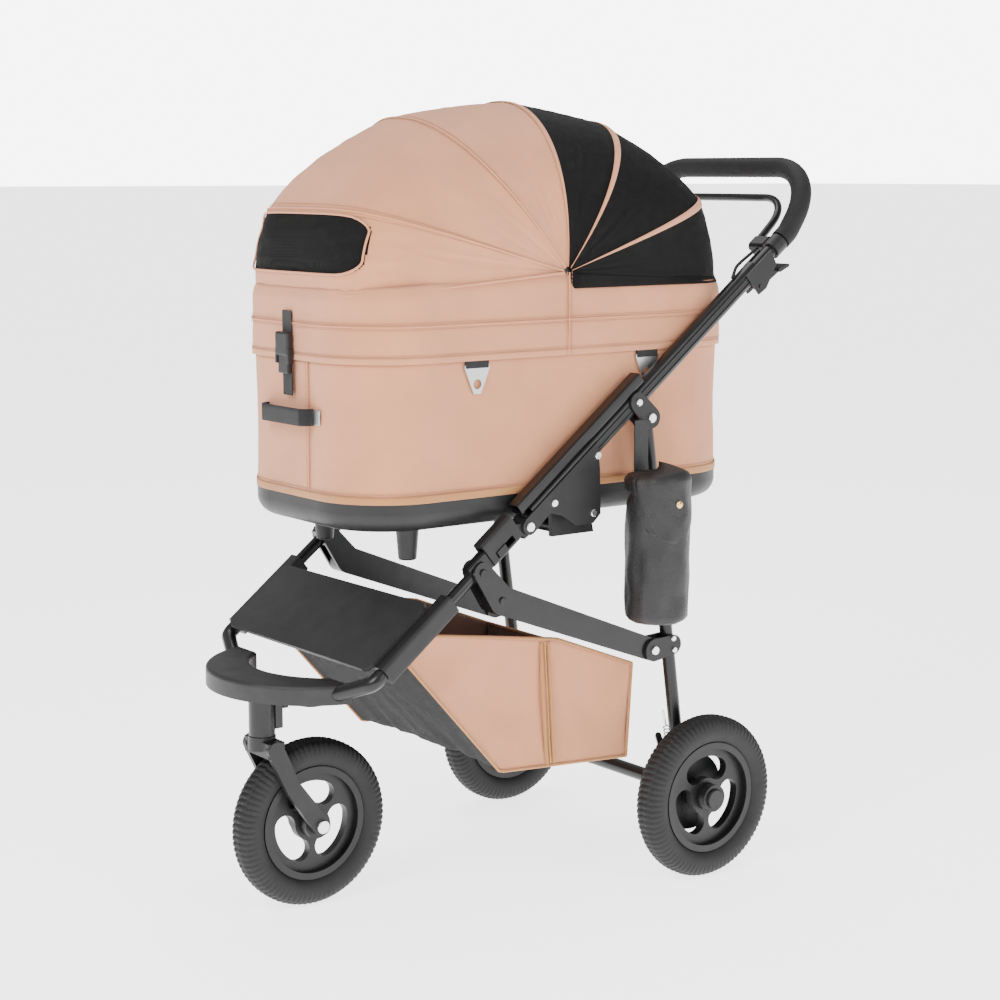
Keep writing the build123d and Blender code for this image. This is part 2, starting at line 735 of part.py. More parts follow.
# ---- every node -------------------------------------------------------------------------------
def build():
    nodes = {
        "main_tubes": main_tubes(),
        "handle_bar": handle_bar(),
        "handle_grip": handle_grip(),
        "brake_bar": brake_bar(),
        "brake_housings": brake_housings(),
        "brake_cables": brake_cables(),
        "release_brackets": release_brackets(),
        "release_lever_left": release_lever(),
        "release_lever_right": mirrored(release_lever()),
        "upper_brackets": upper_brackets(),
        "side_plates": side_plates(),
        "cot_cradle": cot_cradle(),
        "frame_bolts": frame_bolts(),
        "bottle_pouch": bottle_pouch(),
        "lock_sleeves": lock_sleeves(),
        "lock_slider_left": lock_slider(),
        "lock_slider_right": mirrored(lock_slider()),
        "front_tubes": front_tubes(),
        "tube_covers": tube_covers(),
        "footrest_panel": footrest_panel(),
        "front_yoke": front_yoke(),
        "foot_bumper": foot_bumper(),
        "swivel_lock": swivel_lock(),
        "front_fork": front_fork(),
        "front_axle": front_axle_bolt(),
        "front_tyre": tyre(front_axle, 0),
        "front_rim": rim(front_axle, 0, 0),
        "rear_legs": rear_legs(),
        "rear_axle_tube": rear_axle_tube(),
        "rear_knuckles": rear_knuckles(),
        "brake_drums": brake_drums(),
        "rear_bolts": rear_bolts(),
        "link_arms": link_arms(),
        "basket": basket(),
        "cot_tray": cot_tray(),
        "cot_wall": cot_wall(),
        "cot_rim": cot_rim(),
        "cot_mat": cot_mat(),
        "cot_feet": cot_feet(),
        "grab_handle": grab_handle(),
        "front_buckle": front_buckle(),
        "canopy_mesh": canopy_mesh(),
        "canopy_hoops": canopy_hoops(),
        "canopy_pivots": canopy_pivots(),
        "hood_hoop_b": hood_hoop("b", 1),
        "hood_hoop_a": hood_hoop("a", 2),
        "hood_edge": hood_hoop("edge", 3),
        "hood_top_panel": panel(mesh_angles["c"] + 0.4, hood_angles["b"] - 0.4),
        "hood_middle_panel": panel(hood_angles["b"] + 0.4, hood_angles["a"] - 0.4),
        "hood_front_panel": panel(hood_angles["a"] + 0.4, hood_angles["edge"]),
    }
    for name, side in (("left", 1), ("right", -1)):
        nodes[f"rear_tyre_{name}"] = tyre(rear_axle, side * wheel_x)
        nodes[f"rear_rim_{name}"] = rim(rear_axle, side * wheel_x, side)
        nodes[f"hub_button_{name}"] = hub_button() if side > 0 else mirrored(hub_button())
        for place, y in zip(("front", "rear"), ring_y):
            nodes[f"tie_ring_{place}_{name}"] = tie_ring(side, y)
    return nodes


os.makedirs("parts", exist_ok=True)
for node_name, shape in build().items():
    export_step(Pos(X=centring) * shape, f"parts/{node_name}.step")
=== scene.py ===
# %% [markdown]
# # A pet stroller
# The hard parts come from the shared frame. Here the cloth is made and every surface gets its material.
# All lengths are metres, Z is up, the front wheel points to -Y, and `mid_x` is the middle plane.

# %% Load the frame
import bpy
import bmesh
import json
import math
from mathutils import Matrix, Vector, noise

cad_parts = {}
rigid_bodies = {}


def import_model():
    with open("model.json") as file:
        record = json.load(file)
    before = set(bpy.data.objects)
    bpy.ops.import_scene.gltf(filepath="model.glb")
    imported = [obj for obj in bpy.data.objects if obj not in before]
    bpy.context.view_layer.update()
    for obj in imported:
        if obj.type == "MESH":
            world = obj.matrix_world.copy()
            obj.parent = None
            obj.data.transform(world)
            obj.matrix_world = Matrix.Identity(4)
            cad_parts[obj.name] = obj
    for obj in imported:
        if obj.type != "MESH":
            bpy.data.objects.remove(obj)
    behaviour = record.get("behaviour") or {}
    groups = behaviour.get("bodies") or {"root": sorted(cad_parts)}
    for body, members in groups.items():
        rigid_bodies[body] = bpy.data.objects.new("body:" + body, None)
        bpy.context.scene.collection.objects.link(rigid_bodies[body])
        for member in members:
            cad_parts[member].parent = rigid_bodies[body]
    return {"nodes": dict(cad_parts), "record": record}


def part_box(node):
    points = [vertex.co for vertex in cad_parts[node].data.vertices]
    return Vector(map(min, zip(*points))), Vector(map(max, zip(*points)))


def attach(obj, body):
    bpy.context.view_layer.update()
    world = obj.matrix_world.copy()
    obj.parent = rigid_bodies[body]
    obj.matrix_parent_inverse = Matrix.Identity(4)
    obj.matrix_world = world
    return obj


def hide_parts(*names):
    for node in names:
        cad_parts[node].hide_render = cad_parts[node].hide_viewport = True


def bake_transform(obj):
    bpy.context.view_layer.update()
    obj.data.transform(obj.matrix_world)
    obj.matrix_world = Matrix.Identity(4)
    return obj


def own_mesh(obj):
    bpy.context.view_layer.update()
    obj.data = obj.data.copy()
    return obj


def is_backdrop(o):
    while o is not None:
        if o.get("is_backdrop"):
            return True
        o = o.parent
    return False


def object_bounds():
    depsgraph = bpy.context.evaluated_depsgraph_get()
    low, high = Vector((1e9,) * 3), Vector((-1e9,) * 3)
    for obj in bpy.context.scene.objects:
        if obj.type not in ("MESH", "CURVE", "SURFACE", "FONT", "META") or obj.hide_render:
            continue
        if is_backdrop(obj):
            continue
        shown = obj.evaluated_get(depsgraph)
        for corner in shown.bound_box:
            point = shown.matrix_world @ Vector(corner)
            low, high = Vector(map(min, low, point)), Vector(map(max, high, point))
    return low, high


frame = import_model()
size_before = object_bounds()
joints = {j["name"]: j for j in frame["record"]["behaviour"]["joints"]}
pivot = Vector(joints["hood_back_turn"]["pos_m"])
wall_lo, wall_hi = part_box("cot_wall")
mid_x = (wall_lo.x + wall_hi.x) / 2
print("nodes:", len(frame["nodes"]), "middle plane x:", round(mid_x, 4))

# %% [markdown]
# ## Camera and light
# The camera stands to the front and left of the stroller at about chest height.

# %% Camera and light
CAMERA_FROM_MIDDLE = Vector((2.5827, -1.9378, 1.0669))
CAMERA_DOWN = 0.1528
CAMERA_TURN = 0.9263
LENS_MM = 76.58
GLOW_ON_THINGS = 0.6
GLOW_BEHIND = 7.0


def make_camera():
    cam = bpy.data.objects.new("camera", bpy.data.cameras.new("camera"))
    bpy.context.scene.collection.objects.link(cam)
    cam.location = CAMERA_FROM_MIDDLE + Vector((mid_x, 0, 0))
    cam.rotation_euler = (math.pi / 2 - CAMERA_DOWN, 0, CAMERA_TURN)
    cam.data.sensor_width = 36
    cam.data.lens = LENS_MM
    bpy.context.scene.camera = cam


def area_light(name, place, aim, size, power):
    data = bpy.data.lights.new(name, "AREA")
    data.size = size
    data.energy = power
    lamp = bpy.data.objects.new(name, data)
    lamp.location = place
    lamp.rotation_euler = (Vector(aim) - Vector(place)).to_track_quat("-Z", "Y").to_euler()
    bpy.context.scene.collection.objects.link(lamp)


make_camera()
area_light("key", (0.9, -2.7, 2.6), (0, 0, 0.6), 1.6, 95)
area_light("side", (3.0, 0.4, 1.8), (0, 0, 0.6), 1.6, 45)
area_light("top", (-0.8, 0.6, 3.2), (0, 0, 0.6), 2.0, 45)

world = bpy.data.worlds.new("studio")
world.use_nodes = True
sky = world.node_tree.nodes["Background"]
sky.inputs["Color"].default_value = (1, 1, 1, 1)
seen = world.node_tree.nodes.new("ShaderNodeLightPath").outputs["Is Camera Ray"]
glow = world.node_tree.nodes.new("ShaderNodeMapRange")
glow.inputs["To Min"].default_value = GLOW_ON_THINGS
glow.inputs["To Max"].default_value = GLOW_BEHIND
world.node_tree.links.new(seen, glow.inputs["Value"])
world.node_tree.links.new(glow.outputs["Result"], sky.inputs["Strength"])
bpy.context.scene.world = world
print("one camera, three lamps and a pale world")

# %% [markdown]
# ## Materials
# Each material mixes a little colour variation with a bump of its own: threads for cloth, grain for leather,
# fine stipple for moulded plastic. The patterns use object coordinates, so they need no unwrapping.

# %% Material helpers
def start_material(name, color, rough, **values):
    mat = bpy.data.materials.new(name)
    mat.use_nodes = True
    tree = mat.node_tree
    shader = tree.nodes["Principled BSDF"]
    shader.inputs["Base Color"].default_value = (*color, 1)
    shader.inputs["Roughness"].default_value = rough
    for key, value in values.items():
        shader.inputs[key.replace("_", " ")].default_value = value
    coord = tree.nodes.new("ShaderNodeTexCoord").outputs["Object"]
    return mat, tree, shader, coord


def noise_tex(tree, coord, scale, detail=4):
    tex = tree.nodes.new("ShaderNodeTexNoise")
    tex.inputs["Scale"].default_value = scale
    tex.inputs["Detail"].default_value = detail
    tree.links.new(coord, tex.inputs["Vector"])
    return tex.outputs["Fac"]


def wave_tex(tree, coord, scale, direction):
    tex = tree.nodes.new("ShaderNodeTexWave")
    tex.bands_direction = direction
    tex.inputs["Scale"].default_value = scale
    tree.links.new(coord, tex.inputs["Vector"])
    return tex.outputs["Fac"]


def math_node(tree, kind, a, b):
    node = tree.nodes.new("ShaderNodeMath")
    node.operation = kind
    for socket, value in zip(node.inputs, (a, b)):
        if isinstance(value, (int, float)):
            socket.default_value = value
        else:
            tree.links.new(value, socket)
    return node.outputs[0]


def mix_color(tree, shader, fac, dark, light):
    ramp = tree.nodes.new("ShaderNodeValToRGB")
    ramp.color_ramp.elements[0].position = 0.3
    ramp.color_ramp.elements[0].color = (*dark, 1)
    ramp.color_ramp.elements[1].position = 0.7
    ramp.color_ramp.elements[1].color = (*light, 1)
    tree.links.new(fac, ramp.inputs["Fac"])
    tree.links.new(ramp.outputs["Color"], shader.inputs["Base Color"])


def add_bump(tree, shader, height, distance, strength=0.5):
    bump = tree.nodes.new("ShaderNodeBump")
    bump.inputs["Strength"].default_value = strength
    bump.inputs["Distance"].default_value = distance
    tree.links.new(height, bump.inputs["Height"])
    tree.links.new(bump.outputs["Normal"], shader.inputs["Normal"])


def vary_rough(tree, shader, fac, low, high):
    spread = tree.nodes.new("ShaderNodeMapRange")
    spread.inputs["To Min"].default_value = low
    spread.inputs["To Max"].default_value = high
    tree.links.new(fac, spread.inputs["Value"])
    tree.links.new(spread.outputs["Result"], shader.inputs["Roughness"])


def shade(color, factor):
    return tuple(c * factor for c in color)


def cloth(name, color, thread=900, depth=0.0004, soft=0.25):
    """Woven cloth: crossed threads, faint cloudy shading and a soft sheen."""
    mat, tree, shader, coord = start_material(name, color, 0.85, Sheen_Weight=soft, Specular_IOR_Level=0.25)
    weave = wave_tex(tree, coord, thread, "X")
    for direction in "YZ":
        weave = math_node(tree, "ADD", weave, wave_tex(tree, coord, thread, direction))
    clouds = noise_tex(tree, coord, 14)
    mix_color(tree, shader, clouds, shade(color, 0.93), shade(color, 1.05))
    creases = math_node(tree, "MULTIPLY", noise_tex(tree, coord, 22, 2), 4)
    add_bump(tree, shader, math_node(tree, "ADD", weave, creases), depth)
    vary_rough(tree, shader, noise_tex(tree, coord, 60), 0.75, 0.95)
    return mat


def plastic(name, color, rough, stipple=900, depth=0.00008):
    """Moulded plastic or powder coat: fine stipple and slightly uneven gloss."""
    mat, tree, shader, coord = start_material(name, color, rough, Specular_IOR_Level=0.35)
    mix_color(tree, shader, noise_tex(tree, coord, 30), shade(color, 0.85), shade(color, 1.2))
    vary_rough(tree, shader, noise_tex(tree, coord, 45), rough - 0.06, rough + 0.08)
    add_bump(tree, shader, noise_tex(tree, coord, stipple, 2), depth)
    return mat


def metal(name, color, rough):
    """Bright metal with fine scratches in its gloss."""
    mat, tree, shader, coord = start_material(name, color, rough, Metallic=1.0)
    scratches = noise_tex(tree, coord, 350, 6)
    vary_rough(tree, shader, scratches, rough * 0.7, rough * 1.5)
    add_bump(tree, shader, scratches, 0.00003, 0.3)
    return mat


def leather(name, color):
    mat, tree, shader, coord = start_material(name, color, 0.5, Specular_IOR_Level=0.45)
    grain = tree.nodes.new("ShaderNodeTexVoronoi")
    grain.inputs["Scale"].default_value = 420
    tree.links.new(coord, grain.inputs["Vector"])
    folds = math_node(tree, "MULTIPLY", noise_tex(tree, coord, 30, 3), 5)
    add_bump(tree, shader, math_node(tree, "ADD", grain.outputs["Distance"], folds), 0.0006, 0.6)
    vary_rough(tree, shader, noise_tex(tree, coord, 40), 0.4, 0.62)
    return mat


def net(name, color, holes=420, cover=0.62):
    """Open mesh: dark thread with small see-through holes."""
    mat, tree, shader, coord = start_material(name, color, 0.75, Specular_IOR_Level=0.15)
    grid = wave_tex(tree, coord, holes, "Y")
    grid = math_node(tree, "MAXIMUM", grid, wave_tex(tree, coord, holes, "DIAGONAL"))
    open_part = math_node(tree, "GREATER_THAN", grid, 1 - cover)
    solid = math_node(tree, "MAXIMUM", open_part, 0.55)
    tree.links.new(solid, shader.inputs["Alpha"])
    add_bump(tree, shader, grid, 0.0004)
    vary_rough(tree, shader, noise_tex(tree, coord, 80), 0.6, 0.8)
    return mat


# %% [markdown]
# ## The stroller's own materials
# Sand-pink cloth with a golden binding, near-black tubes, charcoal plastic and bright bolts.

# %% The materials
SAND = (0.66, 0.285, 0.145)
GOLD = (0.50, 0.22, 0.075)
m_cloth = cloth("sand cloth", SAND)
m_lining = cloth("brown lining", (0.16, 0.075, 0.05))
m_binding = cloth("golden binding", GOLD, 1400)
m_thread = cloth("sand thread", (0.44, 0.19, 0.09), 2500)
m_black_cloth = cloth("black cloth", (0.005, 0.005, 0.0055), 900, 0.0004, 0.03)
m_webbing = cloth("black webbing", (0.015, 0.015, 0.016), 1300, 0.0005, 0.1)
m_mat = cloth("mat cloth", (0.21, 0.17, 0.14), 600, 0.0006)
m_net = net("black net", (0.004, 0.004, 0.004))
m_tube = plastic("black tube", (0.006, 0.006, 0.0065), 0.3, 1500, 0.00003)
m_plastic = plastic("charcoal plastic", (0.010, 0.010, 0.0105), 0.45)
m_panel = plastic("grey panel", (0.017, 0.017, 0.018), 0.5)
m_wheel = plastic("wheel plastic", (0.007, 0.007, 0.0075), 0.42)
m_rubber = plastic("tyre rubber", (0.009, 0.009, 0.0095), 0.65, 500, 0.0002)
m_foam = plastic("grip foam", (0.006, 0.006, 0.0065), 0.7, 1500, 0.0004)
m_bright = metal("bright bolt", (0.78, 0.78, 0.8), 0.2)
m_steel = metal("brushed plate", (0.55, 0.55, 0.56), 0.33)
m_brass = metal("brass", (0.75, 0.5, 0.2), 0.28)
m_leather = leather("black leather", (0.006, 0.006, 0.0065))
m_floor, floor_tree, floor_shader, floor_coord = start_material(
    "pale floor", (0.95, 0.95, 0.95), 0.9, Emission_Color=(1, 1, 1, 1), Emission_Strength=2.6)
vary_rough(floor_tree, floor_shader, noise_tex(floor_tree, floor_coord, 3), 0.85, 0.95)
print("materials:", len(bpy.data.materials))

# %% The floor
def make_floor():
    bm = bmesh.new()
    bmesh.ops.create_grid(bm, x_segments=1, y_segments=1, size=150)
    mesh = bpy.data.meshes.new("floor")
    bm.to_mesh(mesh)
    mesh.materials.append(m_floor)
    floor = bpy.data.objects.new("floor", mesh)
    bpy.context.scene.collection.objects.link(floor)
    floor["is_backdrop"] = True


make_floor()

# %% [markdown]
# ## Materials for the parts that stay as they are
# Each hard part keeps its shape and takes one material. The rest are replaced by cloth further on.

# %% Dress the hard parts
DRESS = {
    "main_tubes": m_tube, "handle_bar": m_tube, "brake_bar": m_tube, "front_tubes": m_tube,
    "front_yoke": m_tube, "rear_legs": m_tube, "rear_axle_tube": m_tube, "link_arms": m_tube,
    "cot_cradle": m_tube, "hood_hoop_b": m_tube, "hood_hoop_a": m_tube, "hood_edge": m_tube,
    "canopy_hoops": m_tube, "handle_grip": m_foam, "brake_cables": m_rubber,
    "brake_housings": m_plastic, "release_brackets": m_tube, "release_lever_left": m_plastic,
    "release_lever_right": m_plastic, "upper_brackets": m_plastic, "side_plates": m_plastic,
    "lock_sleeves": m_plastic, "lock_slider_left": m_plastic, "lock_slider_right": m_plastic,
    "tube_covers": m_plastic, "footrest_panel": m_panel, "foot_bumper": m_panel,
    "swivel_lock": m_plastic, "front_fork": m_plastic, "brake_drums": m_plastic,
    "rear_knuckles": m_plastic, "cot_feet": m_plastic, "canopy_pivots": m_plastic,
    "cot_tray": m_plastic, "front_rim": m_wheel, "rear_rim_left": m_wheel, "rear_rim_right": m_wheel,
    "hub_button_left": m_plastic, "hub_button_right": m_plastic,
    "frame_bolts": m_bright, "rear_bolts": m_bright, "front_axle": m_bright,
    "tie_ring_front_left": m_steel, "tie_ring_front_right": m_steel,
    "tie_ring_rear_left": m_steel, "tie_ring_rear_right": m_steel,
}
for node, mat in DRESS.items():
    slots = frame["nodes"][node].data.materials
    slots.clear()
    slots.append(mat)
print("dressed", len(DRESS), "hard parts")

# %% [markdown]
# ## Tools for new pieces
# `patch` bends a grid over a surface given as a function of u and v, both from 0 to 1.
# `tube` runs a round cord along points. `stitches` lays short thread dashes along points.
# `block` is a box with eased edges.

# %% Tools for new pieces
WELD = 0.00002


def finish_piece(name, mesh, body, mats, smooth=True):
    for mat in mats if isinstance(mats, (list, tuple)) else [mats]:
        mesh.materials.append(mat)
    if smooth:
        for poly in mesh.polygons:
            poly.use_smooth = True
    obj = bpy.data.objects.new(name, mesh)
    bpy.context.scene.collection.objects.link(obj)
    if body:
        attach(obj, body)
    return obj


def face_out(bm):
    """Turns every face away from the middle of the mesh."""
    bmesh.ops.recalc_face_normals(bm, faces=bm.faces)
    middle = sum((v.co for v in bm.verts), Vector()) / len(bm.verts)
    if sum((f.calc_center_median() - middle).dot(f.normal) * f.calc_area() for f in bm.faces) < 0:
        bmesh.ops.reverse_faces(bm, faces=bm.faces)


def from_bmesh(name, bm, body, mats, smooth=True):
    bmesh.ops.remove_doubles(bm, verts=bm.verts, dist=WELD)
    face_out(bm)
    mesh = bpy.data.meshes.new(name)
    bm.to_mesh(mesh)
    bm.free()
    return finish_piece(name, mesh, body, mats, smooth)


def add_patch(bm, nu, nv, place, index=0):
    """Adds a grid to bm with each corner moved to place(u, v)."""
    made = bmesh.ops.create_grid(bm, x_segments=nu, y_segments=nv, size=0.5)["verts"]
    for vert in made:
        vert.co = place(vert.co.x + 0.5, vert.co.y + 0.5)
    for face in {f for v in made for f in v.link_faces}:
        face.material_index = index
    return made


def thicken(bm, amount):
    face_out(bm)
    bmesh.ops.solidify(bm, geom=list(bm.faces), thickness=amount)


def patch(name, nu, nv, place, body, mats, thick=0.0012):
    bm = bmesh.new()
    add_patch(bm, nu, nv, place)
    bmesh.ops.remove_doubles(bm, verts=bm.verts, dist=WELD)
    thicken(bm, thick)
    return from_bmesh(name, bm, body, mats)


def tube(name, points, radius, body, mat, closed=False, sides=3):
    data = bpy.data.curves.new(name, "CURVE")
    data.dimensions = "3D"
    data.bevel_depth = radius
    data.bevel_resolution = sides
    data.use_fill_caps = True
    line = data.splines.new("POLY")
    line.points.add(len(points) - 1)
    for knot, point in zip(line.points, points):
        knot.co = (*point, 1)
    line.use_cyclic_u = closed
    temp = bpy.data.objects.new(name, data)
    mesh = bpy.data.meshes.new_from_object(temp)
    bpy.data.objects.remove(temp)
    return finish_piece(name, mesh, body, mat)


def even(points, step, closed=False):
    """Points and directions a step apart along a line."""
    line = list(points) + ([points[0]] if closed else [])
    out = []
    left = step / 2
    for a, b in zip(line, line[1:]):
        run = (b - a).length
        while left < run:
            out.append((a.lerp(b, left / run), (b - a).normalized()))
            left += step
        left -= run
    return out


def stitches(name, points, body, mat, pitch=0.0055, dash=0.0036, radius=0.00045, closed=False):
    bm = bmesh.new()
    for middle, direction in even(points, pitch, closed):
        turn = direction.to_track_quat("Z", "Y").to_matrix().to_4x4()
        turn.translation = middle
        bmesh.ops.create_cone(bm, cap_ends=True, segments=6, radius1=radius, radius2=radius,
                              depth=dash, matrix=turn)
    mesh = bpy.data.meshes.new(name)
    bm.to_mesh(mesh)
    bm.free()
    return finish_piece(name, mesh, body, mat)


def block(name, size, place, body, mat, ease=0.002):
    bm = bmesh.new()
    bmesh.ops.create_cube(bm, size=1)
    bmesh.ops.scale(bm, vec=size, verts=bm.verts)
    bmesh.ops.bevel(bm, geom=bm.edges[:], offset=ease, segments=3, profile=0.5,
                    affect="EDGES", material=-1)
    bmesh.ops.translate(bm, vec=place, verts=bm.verts)
    return from_bmesh(name, bm, body, mat, smooth=False)


def ripple(point, scale, amount):
    """A small smooth unevenness that depends only on the place."""
    return amount * noise.noise(Vector(point) * scale)


# %% [markdown]
# ## The canopy's shape
# Every hoop is a superellipse in a plane through the pivot line. Between hoops the cloth dips a little.

# %% The canopy's shape
net_lo, net_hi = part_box("canopy_mesh")
top_lo, top_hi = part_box("hood_top_panel")
CANOPY_WIDE = (net_hi.x - net_lo.x) / 2
CANOPY_LONG = net_hi.y - pivot.y
CANOPY_RISE = top_hi.z - pivot.z
CANOPY_POWER = 2.15
HOOPS = {"edge": 184.5, "front": 164.5, "middle": 128, "back": 86, "net_a": 51, "net_b": 18, "rim": -3.5}
PIVOT_FOOT = 0.008


def reach(angle):
    """How far a hoop at this angle stands from the pivot line."""
    a = math.radians(angle)
    across = abs(math.cos(a)) / CANOPY_LONG
    up = abs(math.sin(a)) / CANOPY_RISE
    return (across ** CANOPY_POWER + up ** CANOPY_POWER) ** (-1 / CANOPY_POWER)


def on_canopy(angle, t, inset=0.0):
    """A point of the canopy; t runs from 0 on the left side over the top to 1 on the right."""
    a = math.radians(angle)
    power = CANOPY_POWER + 2.4 * abs(math.cos(a)) ** 6
    foot = math.asin((PIVOT_FOOT / reach(angle)) ** (power / 2)) / math.pi
    turn = math.pi * (foot + (1 - 2 * foot) * min(max(t, 0.0), 1.0))
    side = math.copysign(abs(math.cos(turn)) ** (2 / power), math.cos(turn)) * (CANOPY_WIDE - inset)
    out = max(math.sin(turn), 0) ** (2 / power) * (reach(angle) - inset)
    return Vector((mid_x + side, pivot.y + out * math.cos(a), pivot.z + out * math.sin(a)))


def canopy_cloth(start, end, dip):
    """A place function for the cloth between two hoops."""
    def place(u, v):
        angle = start + (end - start) * v
        middle = math.sin(math.pi * v)
        sag = dip * middle * math.sin(math.pi * u) ** 0.5
        rough = abs(ripple((u * 3, v * 2, start), 3.0, 0.0026)) * middle
        pucker = abs(ripple((u * 26, v * 2.2, start), 1.0, 0.0022))
        rough += pucker * (1 - middle * 0.8) * min(1, v * 12, (1 - v) * 12)
        return on_canopy(angle, u, 0.0005 + sag + rough)
    return place


def hoop_points(angle, inset, start=0.0, end=1.0, count=90):
    return [on_canopy(angle, start + (end - start) * i / (count - 1), inset) for i in range(count)]


print("canopy:", round(CANOPY_WIDE * 2, 3), "wide,", round(CANOPY_RISE, 3), "above its pivots")


# %% [markdown]
# ## Hood cloth
# Three panels make the hood. The top one spans from the back hoop to the middle hoop, and so on forward.

# %% Hood cloth
DIP = 0.004


def hood_piece(part, start, end, rows):
    """One panel of the hood, from the hoop at the start angle to the hoop at the end angle."""
    cloth_piece = patch(f"hood_{part}_cloth", 110, rows, canopy_cloth(start, end, DIP), None, m_cloth)
    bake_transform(cloth_piece)
    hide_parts(f"hood_{part}_panel")


hood_piece("top", HOOPS["back"], HOOPS["middle"], 26)
hood_piece("middle", HOOPS["middle"], HOOPS["front"], 24)

# %% [markdown]
# The front panel has a rounded window of net. Its faces take the net as a second material, and a binding
# hides the border.

# %% Front panel with its window
WINDOW_ANGLE = 172.6
WINDOW_HALF_WIDTH = 0.142
WINDOW_HALF_ANGLE = 6.9
WINDOW_CORNER = 0.036
WINDOW_CORNER_ANGLE = 3.6


def in_window(point):
    """How far a point is inside the window, above 0 inside."""
    angle = math.degrees(math.atan2(point.z - pivot.z, point.y - pivot.y)) % 360
    x = abs(point.x - mid_x)
    across = (x - (WINDOW_HALF_WIDTH - WINDOW_CORNER)) / WINDOW_CORNER
    up = (abs(angle - WINDOW_ANGLE) - (WINDOW_HALF_ANGLE - WINDOW_CORNER_ANGLE)) / WINDOW_CORNER_ANGLE
    return 1 - math.hypot(max(across, 0), max(up, 0)) if across < 1 and up < 1 else -1


def front_panel():
    bm = bmesh.new()
    add_patch(bm, 150, 40, canopy_cloth(HOOPS["front"], HOOPS["edge"], 0.001))
    bmesh.ops.remove_doubles(bm, verts=bm.verts, dist=WELD)
    for face in bm.faces:
        face.material_index = 1 if in_window(face.calc_center_median()) > 0 else 0
    thicken(bm, 0.0012)
    obj = from_bmesh("hood_front_cloth", bm, None, [m_cloth, m_net])
    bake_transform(obj)
    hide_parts("hood_front_panel")


def window_outline(inset=-0.001):
    """The window's border, found by walking out from its middle in each direction."""
    line = []
    for i in range(72):
        way = math.tau * i / 72
        low, high = 0.0, 1.0
        for _ in range(18):
            step = (low + high) / 2
            angle = WINDOW_ANGLE + 9 * step * math.sin(way)
            point = on_canopy(angle, 0.5 + 0.45 * step * math.cos(way), inset)
            low, high = (step, high) if in_window(point) > 0 else (low, step)
        line.append(point)
    return line


front_panel()
binding = tube("window_binding", window_outline(), 0.0017, None, m_cloth, closed=True)
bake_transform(binding)

# %% [markdown]
# ## Net half
# Three panels of net hang on fixed hoops, with cloth piping over each.

# %% Net half
def net_panel(name, start, end):
    return patch(name, 100, 18, canopy_cloth(start, end, DIP), "cot", m_net, 0.0008)


DEGREES = 57.3


def band(name, angle, width, body, mat, lift=0.0012, rows=3):
    """A flat strip of cloth that follows a hoop."""
    def place(u, v):
        spread = (v - 0.5) * width / reach(angle) * DEGREES
        return on_canopy(angle + spread, u, -lift * math.sin(math.pi * v) - 0.0004)
    return patch(name, 100, rows, place, body, mat, 0.0008)


net_top = net_panel("net_top", HOOPS["net_a"], HOOPS["back"])
net_panel("net_middle", HOOPS["net_b"], HOOPS["net_a"])
net_panel("net_low", HOOPS["rim"], HOOPS["net_b"])
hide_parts("canopy_mesh")
band("piping_top", HOOPS["net_a"], 0.013, "cot", m_cloth)
band("piping_low", HOOPS["net_b"], 0.013, "cot", m_cloth)
band("back_edge", HOOPS["back"] + 0.8, 0.010, "cot", m_cloth)

# %% [markdown]
# ## Seams on the hood
# A raised fold and two rows of thread mark each hoop under the cloth.

# %% Seams on the hood
def seam(name, angle, body):
    tube(name, hoop_points(angle, -0.0002), 0.0016, body, m_cloth)
    for side, turn in (("a", 1.1), ("b", -1.1)):
        row = hoop_points(angle + turn, -0.0004 + 0.0003, 0.02, 0.98, 160)
        stitches(f"{name}_thread_{side}", row, body, m_thread)


seam("seam_middle", HOOPS["middle"], "hood_back")
seam("seam_front", HOOPS["front"], "hood_middle")
tube("seam_edge", hoop_points(HOOPS["edge"] - 0.3, -0.001), 0.002, "hood_front", m_cloth)

# %% [markdown]
# ## The cot
# Its outline is a rounded rectangle. `around` gives a point at a share of the way round, starting on the
# left side, and the wall, rim and bindings are all patches wrapped along it.

# %% The cot's outline
HALF_X = (wall_hi.x - wall_lo.x) / 2
HALF_Y = (wall_hi.y - wall_lo.y) / 2
CORNER = 0.112
cot_y = (wall_hi.y + wall_lo.y) / 2


def around(share, grow=0.0):
    """(x, y) on the cot's outline at a share of its length, grown outwards."""
    straight_x = HALF_X - CORNER
    straight_y = HALF_Y - CORNER
    arc = math.pi / 2 * CORNER
    spot = (share % 1.0) * (4 * (straight_x + straight_y) + 4 * arc)
    corners = ((1, 1), (-1, 1), (-1, -1), (1, -1))
    run = 2 * straight_y
    x, y, turn = straight_x, -straight_y, 0.0
    for i in range(4):
        length = run if i % 2 == 0 else 2 * straight_x
        if spot <= length:
            out_x, out_y = math.cos(turn), math.sin(turn)
            return (mid_x + x - out_y * spot + out_x * (CORNER + grow),
                    cot_y + y + out_x * spot + out_y * (CORNER + grow))
        spot -= length
        cx, cy = corners[i][0] * straight_x, corners[i][1] * straight_y
        if spot <= arc:
            angle = turn + spot / CORNER
            return (mid_x + cx + math.cos(angle) * (CORNER + grow),
                    cot_y + cy + math.sin(angle) * (CORNER + grow))
        spot -= arc
        turn += math.pi / 2
        x, y = cx, cy
    return around(0.0, grow)


def ring_points(z, grow, count=240):
    return [Vector((*around(i / count, grow), z)) for i in range(count)]


# %% Wall of the cot
def wall_place(u, v):
    z = wall_lo.z - 0.001 + (wall_hi.z - wall_lo.z) * v
    x, y = around(u)
    inward = 0.0022 * math.sin(math.pi * v) + abs(ripple((x, y, z), 9, 0.0022))
    x, y = around(u, -inward)
    return Vector((x, y, z))


wall = patch("cot_cloth", 260, 24, wall_place, "cot", m_cloth, 0.002)
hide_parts("cot_wall")


